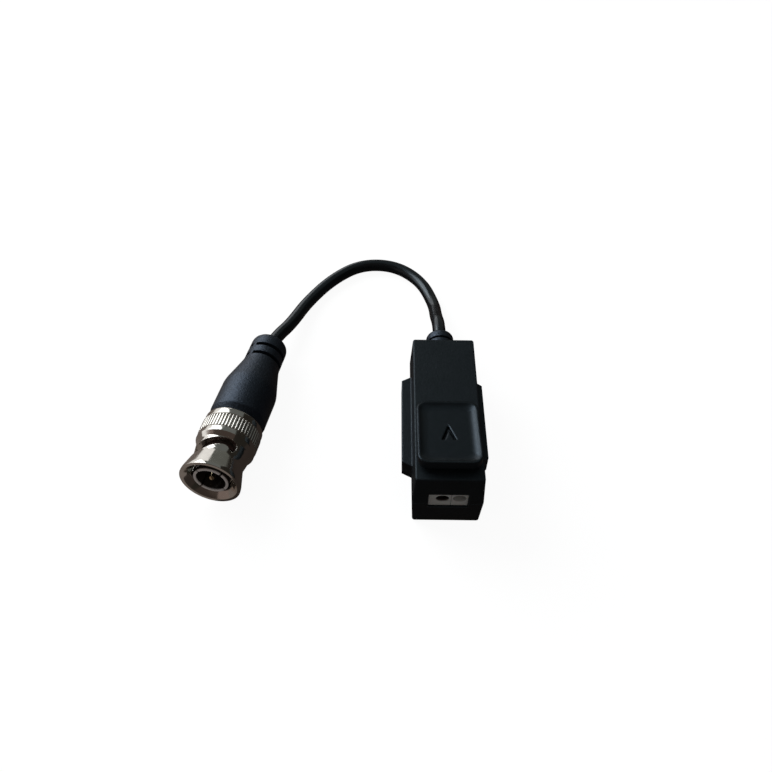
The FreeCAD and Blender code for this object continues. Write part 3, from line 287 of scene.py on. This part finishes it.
def rounded_edge(tree, radius):
    """The moulded or tumbled rounding of a piece's edges, of that radius in millimetres."""
    return step(tree, "ShaderNodeBevel", {"Radius": radius * MM}, samples=6).outputs["Normal"]


vinyl_rounding = 0.25
vinyl_matte = new_material("vinyl_matte")
tree = vinyl_matte.node_tree
where = in_millimetres(tree)
surface(
    vinyl_matte, {"Specular IOR Level": 0.86, "Specular Tint": (0.56, 0.73, 1.0, 1.0)},
    Base_Color=two_tone(tree, between(tree, noise(tree, where, 3.0), 0.0, 1.0),
                        (0.0068, 0.0092, 0.012), (0.0112, 0.014, 0.0195)),
    Roughness=between(tree, noise(tree, where, 0.34, detail=3.0), 0.27, 0.5),
    Normal=relief(tree, noise(tree, where, 0.5, detail=3.0, rough=0.7), 0.15,
                  rounded_edge(tree, vinyl_rounding)))
dress(vinyl_matte, "cable_gland")


# Housing
# Two black ABS shells with a spark-textured skin, pressed together at the seam all round.
# Fins along the seam give the fingers a grip, and the corners are only just rounded.
on_the_edge, on_the_face = 0.93, 0.995


def away_from_edges(tree, rounding):
    """0 on the edges, which handling polishes, and 1 on the faces between them."""
    face = step(tree, "ShaderNodeNewGeometry").outputs["Normal"]
    flatness = step(tree, "ShaderNodeVectorMath", {0: rounded_edge(tree, rounding), 1: face},
                    operation="DOT_PRODUCT").outputs["Value"]
    return ranged(tree, flatness, on_the_edge, on_the_face)


polished_edge = 0.12
shell_rounding = 0.42
textured_abs = new_material("textured_abs")
tree = textured_abs.node_tree
where = in_millimetres(tree)
# The edges are painted lighter than the faces, a painted highlight along them, and made glossier
# as handling polishes them.
faces_only = away_from_edges(tree, shell_rounding)
face_shade = between(tree, noise(tree, where, 4.0), 0.85, 1.0)
face_gloss = between(tree, noise(tree, where, 0.4, detail=4.0), 0.34, 0.54)
surface(
    textured_abs, {"Specular IOR Level": 0.45, "Specular Tint": (0.68, 0.86, 1.0, 1.0)},
    Base_Color=two_tone(tree, ranged(tree, faces_only, 0.0, 1.0, 0.0, face_shade),
                        (0.024, 0.028, 0.035), (0.0058, 0.0082, 0.0098)),
    Roughness=ranged(tree, faces_only, 0.0, 1.0, polished_edge, face_gloss),
    Normal=relief(tree, noise(tree, where, 0.34, detail=3.0, rough=0.7), 0.05,
                  rounded_edge(tree, shell_rounding)))
dress(textured_abs, "upper_shell", "lower_shell")


# Press key
# One moulded rocker of smooth black ABS. Its dish and chevron show where the thumb goes, and it
# turns on two trunnions in the upper shell. The chevron's groove and the key's other tight
# recesses are painted near-black by ambient occlusion, a painted shade that also takes their
# reflection away, and are made dull.
key_rounding = 0.6
painted_shade_reach, shut_in, in_the_open = 0.55, 0.68, 0.96
dull_groove = 0.8
smooth_abs = new_material("smooth_abs")
tree = smooth_abs.node_tree
where = in_millimetres(tree)
# Ambient occlusion finds the recesses to paint near-black: a painted shade.
openness = step(tree, "ShaderNodeAmbientOcclusion", {"Distance": painted_shade_reach * MM},
                samples=8).outputs["AO"]
out_of_painted_shade = ranged(tree, openness, shut_in, in_the_open)
key_gloss = ranged(tree, away_from_edges(tree, key_rounding), 0.0, 1.0, polished_edge,
                   between(tree, noise(tree, where, 1.1, detail=4.0), 0.28, 0.37))
surface(
    smooth_abs, {"Specular IOR Level": 0.55, "Specular Tint": (0.64, 0.82, 1.0, 1.0)},
    Base_Color=two_tone(tree, out_of_painted_shade, (0.0008, 0.001, 0.0011),
                        (0.0062, 0.0088, 0.0106)),
    Roughness=ranged(tree, out_of_painted_shade, 0.0, 1.0, dull_groove, key_gloss),
    Metallic=ranged(tree, out_of_painted_shade, 0.0, 1.0, 1.0, 0.0),
    Normal=relief(tree, noise(tree, where, 0.25), 0.003, rounded_edge(tree, key_rounding)))
dress(smooth_abs, "press_key")


# Wire terminals
# Two grey-white nylon blocks stand side by side behind the front window, one for each wire, the
# left one's clamp open. Behind their front faces the colour is painted darker, a painted shade:
# deep brown in the left block, pale grey in the right. Each holds a tinned brass bar and a folded
# steel spring that clamps the wire.
nose_front = -20.25
wall_lit, wall_dark = nose_front + 0.05, nose_front + 0.35
nylon_blocks = {
    "nylon_open": ("terminal_block_left", (0.045, 0.03, 0.025)),
    "nylon_shut": ("terminal_block_right", (0.44, 0.415, 0.39))}
for name, (block, painted_shade_colour) in nylon_blocks.items():
    nylon = new_material(name)
    tree = nylon.node_tree
    where = in_millimetres(tree)
    depth = step(tree, "ShaderNodeSeparateXYZ", {"Vector": where}).outputs["Y"]
    outside = two_tone(tree, between(tree, noise(tree, where, 2.2), 0.0, 1.0),
                       (0.5, 0.475, 0.45), (0.6, 0.575, 0.545))
    # Behind the front face the colour goes over to a darker one: a painted shade.
    shaded = step(tree, "ShaderNodeMix", {
        "Factor": ranged(tree, depth, wall_lit, wall_dark, 1.0, 0.0)}, data_type="RGBA")
    shaded.inputs["A"].default_value = (*painted_shade_colour, 1.0)
    tree.links.new(outside, shaded.inputs["B"])
    surface(
        nylon, {"Specular IOR Level": 0.3, "Subsurface Weight": 0.06,
                "Subsurface Scale": 0.3 * MM},
        Base_Color=shaded.outputs["Result"],
        Roughness=between(tree, noise(tree, where, 0.6, detail=3.0), 0.42, 0.56),
        Normal=relief(tree, noise(tree, where, 0.3), 0.004))
    dress(nylon, block)


def bright_metal(name, dark, light, smooth, dull, centre=(0.0, 0.0, 0.0), turn=(0.0, 0.0, 0.0),
                 turned=False):
    """Plated or bare metal with faint smears, and lathe rings where it was turned."""
    material = new_material(name)
    tree = material.node_tree
    where = in_millimetres(tree, centre, turn)
    bumps = relief(tree, noise(tree, where, 1.2), 0.0016, rounded_edge(tree, 0.14))
    if turned:
        rings = step(tree, "ShaderNodeTexWave", {
            "Vector": where, "Scale": 3.1, "Distortion": 0.6, "Detail": 2.0},
            wave_type="BANDS", bands_direction="Y")
        bumps = relief(tree, rings.outputs["Fac"], 0.0007, bumps)
    smears = between(tree, noise(tree, where, 2.5, detail=3.0), 0.0, 1.0)
    return surface(
        material, {"Metallic": 1.0}, Base_Color=two_tone(tree, smears, dark, light),
        Roughness=between(tree, noise(tree, where, 1.4, detail=5.0), smooth, dull),
        Normal=bumps)


spring_steel = bright_metal("spring_steel", (0.38, 0.37, 0.36), (0.5, 0.49, 0.47), 0.2, 0.32)
dress(spring_steel, "clamp_spring_left", "clamp_spring_right", "retaining_ring", "wave_washer")
tinned_brass = bright_metal("tinned_brass", (0.52, 0.5, 0.46), (0.66, 0.64, 0.6), 0.22, 0.36)
dress(tinned_brass, "contact_bar_left", "contact_bar_right")


# Circuit
# A small glass-epoxy board on four posts carries a wound ferrite ring, a surge tube,
# a resistor and a film capacitor. Two leads from the cable are soldered behind them.
def simple_finish(name, dark, light, spot, smooth, dull, skin, **values):
    """A plain finish whose spots drift between two shades, with a skin of that depth."""
    material = new_material(name)
    tree = material.node_tree
    where = in_millimetres(tree)
    drift = between(tree, noise(tree, where, spot), 0.0, 1.0)
    return surface(
        material, {socket.replace("_", " "): value for socket, value in values.items()},
        Base_Color=two_tone(tree, drift, dark, light),
        Roughness=between(tree, noise(tree, where, spot / 2, detail=3.0), smooth, dull),
        Normal=relief(tree, noise(tree, where, spot / 6), skin))


dress(simple_finish("board_mask", (0.008, 0.075, 0.03), (0.014, 0.12, 0.05), spot=1.6,
                    smooth=0.25, dull=0.4, skin=0.004, Coat_Weight=0.3), "circuit_board")
dress(simple_finish("ferrite", (0.018, 0.018, 0.02), (0.04, 0.04, 0.042), spot=0.5,
                    smooth=0.5, dull=0.7, skin=0.01), "transformer_core")
dress(simple_finish("white_ceramic", (0.62, 0.6, 0.56), (0.72, 0.7, 0.66), spot=1.2,
                    smooth=0.25, dull=0.4, skin=0.003), "surge_protector")
dress(simple_finish("film_block", (0.32, 0.03, 0.02), (0.42, 0.05, 0.03), spot=1.4,
                    smooth=0.3, dull=0.45, skin=0.004), "capacitor")
dress(simple_finish("resistor_lacquer", (0.34, 0.2, 0.09), (0.42, 0.27, 0.13), spot=0.8,
                    smooth=0.35, dull=0.5, skin=0.006), "resistor")
dress(simple_finish("lead_white", (0.6, 0.58, 0.55), (0.7, 0.68, 0.65), spot=1.0,
                    smooth=0.35, dull=0.5, skin=0.002), "coax_core_lead")
dress(simple_finish("lead_black", (0.012, 0.012, 0.014), (0.02, 0.02, 0.022), spot=1.0,
                    smooth=0.35, dull=0.5, skin=0.002), "coax_shield_lead")
enamelled_copper = bright_metal("enamelled_copper", (0.5, 0.2, 0.08), (0.66, 0.3, 0.13),
                                0.18, 0.3)
dress(enamelled_copper, "transformer_winding")


# Boot
# Black vinyl moulded over the crimped ferrule and the lead's end, chamfered where it meets the
# sleeve. Two rows of slots, each broken by two webs, let its narrow end bend.
plug_mouth = Vector((-53.3, -16.55, 8.82)) * MM
plug_turn = (math.radians(-4.0), 0.0, math.radians(-10.4))
upright_to_plug = Matrix(((0, 1, 0, 0), (0, 0, 1, 0), (1, 0, 0, 0), (0, 0, 0, 1)))
onto_plug = (Matrix.Translation(plug_mouth) @ Euler(plug_turn).to_matrix().to_4x4()
             @ upright_to_plug)
lathe_sides = 144
sliver_width = 0.002     # cutting leaves slivers narrower than this, which are closed up
smooth_under = math.radians(38)


def eased(corners, steps=6):
    """A closed outline through (radius, station, rounding) corners, each rounded by that much."""
    outline = []
    for index, (radius, station, ease) in enumerate(corners):
        here = Vector((radius, station))
        before = Vector(corners[index - 1][:2])
        after = Vector(corners[(index + 1) % len(corners)][:2])
        start = here.lerp(before, ease / (before - here).length)
        end = here.lerp(after, ease / (after - here).length)
        parts = [part / steps for part in range(steps + 1)] if ease else [0.5]
        outline += [start.lerp(here, part).lerp(here.lerp(end, part), part) for part in parts]
    return outline


def solid_of(name, points, faces):
    """A closed mesh in millimetres, on the upright axis, with its faces turned outwards."""
    mesh = bpy.data.meshes.new(name)
    mesh.from_pydata(points, [], faces)
    shell = bmesh.new()
    shell.from_mesh(mesh)
    bmesh.ops.recalc_face_normals(shell, faces=shell.faces)
    shell.to_mesh(mesh)
    shell.free()
    solid = bpy.data.objects.new(name, mesh)
    bpy.context.scene.collection.objects.link(solid)
    return solid


def swept_round(name, sections, closed=True):
    """Sections of (radius, angle, station) points, each joined to the next, the last to the
    first where the sweep is closed."""
    points = [(radius * math.cos(angle), radius * math.sin(angle), station)
              for section in sections for radius, angle, station in section]
    size, count = len(sections[0]), len(sections)
    faces = []
    for section in range(count if closed else count - 1):
        here, there = section * size, (section + 1) % count * size
        for corner in range(size):
            after = (corner + 1) % size
            faces.append((here + corner, there + corner, there + after, here + after))
    if not closed:
        faces += [tuple(range(size)), tuple(range((count - 1) * size, count * size))]
    return solid_of(name, points, faces)


def turned_on_lathe(name, corners):
    """The eased outline of a piece, turned round the upright axis."""
    outline = eased(corners)
    return swept_round(name, [
        [(spot.x, 2 * math.pi * side / lathe_sides, spot.y) for spot in outline]
        for side in range(lathe_sides)])


def groove_cutter(name, inner, outer, edges):
    """What a cutter takes away as it goes round: its front and rear edge at each angle in
    degrees, counted from the plug's right side up."""
    sections = []
    for angle, front, rear in edges:
        round_by = math.radians(90 - angle)
        sections.append([(inner, round_by, front), (outer, round_by, front),
                         (outer, round_by, rear), (inner, round_by, rear)])
    return swept_round(name, sections, closed=False)


def as_plain_mesh(piece):
    """What a piece's modifiers make of it, as a mesh with none."""
    mesh = bpy.data.meshes.new_from_object(
        piece.evaluated_get(bpy.context.evaluated_depsgraph_get()))
    bpy.data.objects.remove(piece)
    return mesh


def cut_away(solid, cutters):
    """Cuts every cutter out of a solid, and gives what is left, without slivers."""
    for cutter in cutters:
        cut = solid.modifiers.new("cut", "BOOLEAN")
        cut.object, cut.operation, cut.solver, cut.use_self = cutter, "DIFFERENCE", "EXACT", True
    mesh = as_plain_mesh(solid)
    for cutter in cutters:
        bpy.data.objects.remove(cutter)
    shell = bmesh.new()
    shell.from_mesh(mesh)
    bmesh.ops.remove_doubles(shell, verts=shell.verts, dist=sliver_width)
    bmesh.ops.dissolve_degenerate(shell, edges=shell.edges, dist=sliver_width)
    shell.to_mesh(mesh)
    shell.free()
    return mesh


def lay_on_plug(name, mesh, finish):
    """Lays an upright mesh in millimetres along the plug's axis, smooth but for its edges."""
    mesh.transform(onto_plug @ Matrix.Scale(MM, 4))
    mesh.materials.clear()
    mesh.materials.append(finish)
    mesh.shade_smooth()
    mesh.set_sharp_from_angle(angle=smooth_under)
    piece = bpy.data.objects.new(name, mesh)
    bpy.context.scene.collection.objects.link(piece)
    return piece


boot_corners = [
    (5.7, 16.98, 0.2), (6.88, 18.85, 0.35), (6.9, 28.3, 1.2), (5.7, 33.2, 1.5),
    (4.78, 37.2, 0.8), (4.74, 45.9, 1.9), (1.5, 46.0, 0.0), (1.5, 23.6, 0.0),
    (3.6, 23.6, 0.0), (3.6, 16.98, 0.0)]
web_start, web_end = 115.0, 128.0
slot_starts, slot_width = (37.65, 40.85), 1.05
slot_floor, past_the_boot = 3.25, 8.0
slot_steps = 30
slot_reach = web_start - web_end + 180
slot_angles = [web_end - 180 + slot_reach * part / slot_steps for part in range(slot_steps + 1)]
relief_cuts = [
    groove_cutter("relief_slot", slot_floor, past_the_boot,
                  [(angle + half, start, start + slot_width) for angle in slot_angles])
    for start in slot_starts for half in (0, 180)]
moulded = cut_away(turned_on_lathe("boot_skin", boot_corners), relief_cuts)
boot_skin = lay_on_plug("boot_skin", moulded, vinyl_matte)
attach(boot_skin, "root")
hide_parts("boot")


# Coupling sleeve
# Nickel-plated brass, turned and milled: a flared rim round the mouth, two slanting bayonet
# slots that end in a round seat, and a straight knurl between smooth bands. It turns on the
# plug's hub.
nickel = bright_metal("nickel", (0.66, 0.63, 0.58), (0.76, 0.73, 0.68), 0.08, 0.17,
                      plug_mouth, plug_turn, turned=True)
sleeve_corners = [
    (6.35, 0.0, 0.12), (7.15, 0.0, 0.14), (7.1, 0.8, 0.4), (5.9, 5.5, 0.8), (6.3, 7.9, 0.2),
    (6.33, 8.7, 0.15), (7.05, 9.84, 0.1), (7.05, 11.15, 0.12), (6.8, 11.2, 0.0),
    (6.8, 14.95, 0.0), (7.05, 15.0, 0.12), (7.05, 16.7, 0.4), (5.4, 16.7, 0.1),
    (5.4, 12.4, 0.0), (3.97, 12.4, 0.0), (3.97, 11.25, 0.0), (4.9, 11.25, 0.0),
    (4.9, 1.7, 0.3)]
bayonet_edges = [
    (45, 6.7, 7.3), (47, 6.15, 7.9), (50, 5.92, 8.2), (54, 5.95, 8.4), (58, 6.3, 8.55),
    (63, 6.7, 8.62), (70, 6.88, 8.65), (76, 6.85, 8.6), (85, 6.6, 8.5), (95, 6.25, 8.3),
    (103, 5.85, 8.1), (110, 5.5, 7.9), (117, 5.2, 7.75), (126, 4.75, 7.5), (135, 4.3, 7.2),
    (145, 3.8, 6.9), (155, 3.3, 6.5), (166, 3.0, 5.6)]
entry_angles = [154, 158, 162, 166, 170, 174, 178]
entry_front, entry_rear, entry_radius = -1.0, 5.2, 5.6
inside_the_bore, past_the_sleeve = 4.3, 8.0
bayonet_cuts = [
    groove_cutter("bayonet_slot", inside_the_bore, past_the_sleeve,
                  [(angle + half, front, rear) for angle, front, rear in bayonet_edges])
    for half in (0, 180)]
bayonet_cuts += [
    groove_cutter("entry_groove", inside_the_bore, entry_radius,
                  [(angle + half, entry_front, entry_rear) for angle in entry_angles])
    for half in (0, 180)]

# A rib of the knurl: its rise, as a share of its height, at places along its rounded end, and
# the squareness of its section.
rib_count, knurl_root, knurl_start = 54, 6.8, 11.2
rib_half_width, rib_height, rib_length, rib_foot, rib_squareness = 0.4, 0.42, 3.74, 0.05, 2.7
rib_spots = 15
rib_end = [(0.12, 0.0), (0.75, 0.0), (0.93, 0.12), (1.0, 0.3)]
rib_sections = rib_end + [(rise, rib_length - along) for rise, along in reversed(rib_end)]
rib_points = []
for rise, along in rib_sections:
    for spot in range(rib_spots):
        angle = math.pi * spot / (rib_spots - 1)
        across = math.copysign(abs(math.cos(angle)) ** (2 / rib_squareness), math.cos(angle))
        lift = rise * rib_height * math.sin(angle) ** (2 / rib_squareness)
        rib_points.append((lift - rib_foot, rib_half_width * across, along))
rib_faces = []
for here in range(0, len(rib_points) - rib_spots, rib_spots):
    for spot in range(rib_spots):
        after = (spot + 1) % rib_spots
        rib_faces.append((here + spot, here + after, here + rib_spots + after,
                          here + rib_spots + spot))
rib_faces += [tuple(range(rib_spots)),
              tuple(range(len(rib_points) - rib_spots, len(rib_points)))]
rib = solid_of("knurl_rib", rib_points, rib_faces)


def knurl_tree():
    """Sets ribs side by side round a turned piece."""
    group = bpy.data.node_groups.new("straight_knurl", "GeometryNodeTree")
    for name, kind in (("Turned piece", "Geometry"), ("Rib", "Object"), ("Ribs", "Int"),
                       ("Root radius", "Float"), ("Start", "Float"), ("Metal", "Material")):
        group.interface.new_socket(name, in_out="INPUT", socket_type="NodeSocket" + kind)
    group.interface.new_socket("Knurled piece", in_out="OUTPUT",
                               socket_type="NodeSocketGeometry")
    given = step(group, "NodeGroupInput").outputs
    ring = step(group, "GeometryNodeMeshCircle", {
        "Vertices": given["Ribs"], "Radius": given["Root radius"]})
    lift = step(group, "ShaderNodeCombineXYZ", {"Z": given["Start"]})
    raised = step(group, "GeometryNodeTransform", {
        "Geometry": ring.outputs["Mesh"], "Translation": lift.outputs[0]})
    place = step(group, "GeometryNodeInputPosition")
    spot = step(group, "ShaderNodeSeparateXYZ", {"Vector": place.outputs[0]})
    outward = step(group, "ShaderNodeCombineXYZ", {
        "X": spot.outputs["X"], "Y": spot.outputs["Y"]})
    facing = step(group, "FunctionNodeAlignRotationToVector", {"Vector": outward.outputs[0]},
                  axis="X", pivot_axis="Z")
    shape = step(group, "GeometryNodeObjectInfo", {"Object": given["Rib"]})
    ribs = step(group, "GeometryNodeInstanceOnPoints", {
        "Points": raised.outputs["Geometry"], "Instance": shape.outputs["Geometry"],
        "Rotation": facing.outputs[0]})
    joined = step(group, "GeometryNodeJoinGeometry")
    group.links.new(given["Turned piece"], joined.inputs[0])
    group.links.new(ribs.outputs[0], joined.inputs[0])
    real = step(group, "GeometryNodeRealizeInstances", {"Geometry": joined.outputs[0]})
    plated = step(group, "GeometryNodeSetMaterial", {
        "Geometry": real.outputs[0], "Material": given["Metal"]})
    group.links.new(plated.outputs[0], step(group, "NodeGroupOutput").inputs[0])
    return group


def made_by(piece, tree, values):
    """Runs a tree on a piece with its named inputs set, and gives the result as a mesh."""
    maker = piece.modifiers.new("made", "NODES")
    maker.node_group = tree
    for item in tree.interface.items_tree:
        if item.in_out == "INPUT" and item.name in values:
            maker[item.identifier] = values[item.name]
    return as_plain_mesh(piece)


milled = cut_away(turned_on_lathe("sleeve_blank", sleeve_corners), bayonet_cuts)
blank = bpy.data.objects.new("sleeve_blank", milled)
bpy.context.scene.collection.objects.link(blank)
knurled = made_by(blank, knurl_tree(), {
    "Rib": rib, "Ribs": rib_count, "Root radius": knurl_root, "Start": knurl_start,
    "Metal": nickel})
bpy.data.objects.remove(rib)
sleeve_metal = lay_on_plug("sleeve_metal", knurled, nickel)
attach(sleeve_metal, "coupling_sleeve")
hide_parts("coupling_sleeve")


# Inside the plug
# A dark moulded insulator holds the gilt centre pin, and a rubber gasket lies round the outer
# contact's root. The contact's front face is bright, and behind it the contact is painted
# near-black, a painted shade for the sleeve's shade. The plug body that the slots show is painted
# dark the same way, a painted shade.
dress(nickel, "thrust_washer", "crimp_ferrule")
satin_nickel_painted_shade = bright_metal("satin_nickel_painted_shade", (0.6, 0.57, 0.53), (0.7, 0.67, 0.63), 0.34, 0.46,
                            plug_mouth, plug_turn, turned=True)
tree = satin_nickel_painted_shade.node_tree
along_plug = in_millimetres(tree, plug_mouth, plug_turn)
station = step(tree, "ShaderNodeSeparateXYZ", {"Vector": along_plug}).outputs["Y"]
# Behind its front face the contact is painted near-black: a painted shade.
face_end, shade_start = 0.75, 0.95
into_painted_shade = ranged(tree, station, face_end, shade_start)
surface(satin_nickel_painted_shade, {"Metallic": 0.2},
        Base_Color=two_tone(tree, into_painted_shade, (0.95, 0.87, 0.83), (0.035, 0.026, 0.02)))
dress(satin_nickel_painted_shade, "outer_contact")
# The plug body is painted near-black where the slots show it: a painted shade.
dull_nickel_painted_shade = bright_metal("dull_nickel_painted_shade", (0.07, 0.05, 0.042), (0.1, 0.075, 0.06), 0.4, 0.55,
                           plug_mouth, plug_turn)
dress(dull_nickel_painted_shade, "plug_body")
dress(simple_finish("dark_acetal", (0.02, 0.02, 0.018), (0.032, 0.032, 0.03), spot=1.2,
                    smooth=0.35, dull=0.5, skin=0.003), "plug_insulator")
dress(simple_finish("red_rubber", (0.035, 0.014, 0.011), (0.055, 0.021, 0.016), spot=0.8,
                    smooth=0.5, dull=0.65, skin=0.004), "plug_gasket")
dress(simple_finish("lead_core", (0.62, 0.6, 0.56), (0.7, 0.68, 0.64), spot=0.9,
                    smooth=0.35, dull=0.5, skin=0.002), "coax_tail")
gilt = bright_metal("gilt", (0.7, 0.55, 0.34), (0.84, 0.7, 0.46), 0.12, 0.22,
                    plug_mouth, plug_turn, turned=True)
dress(gilt, "centre_pin")
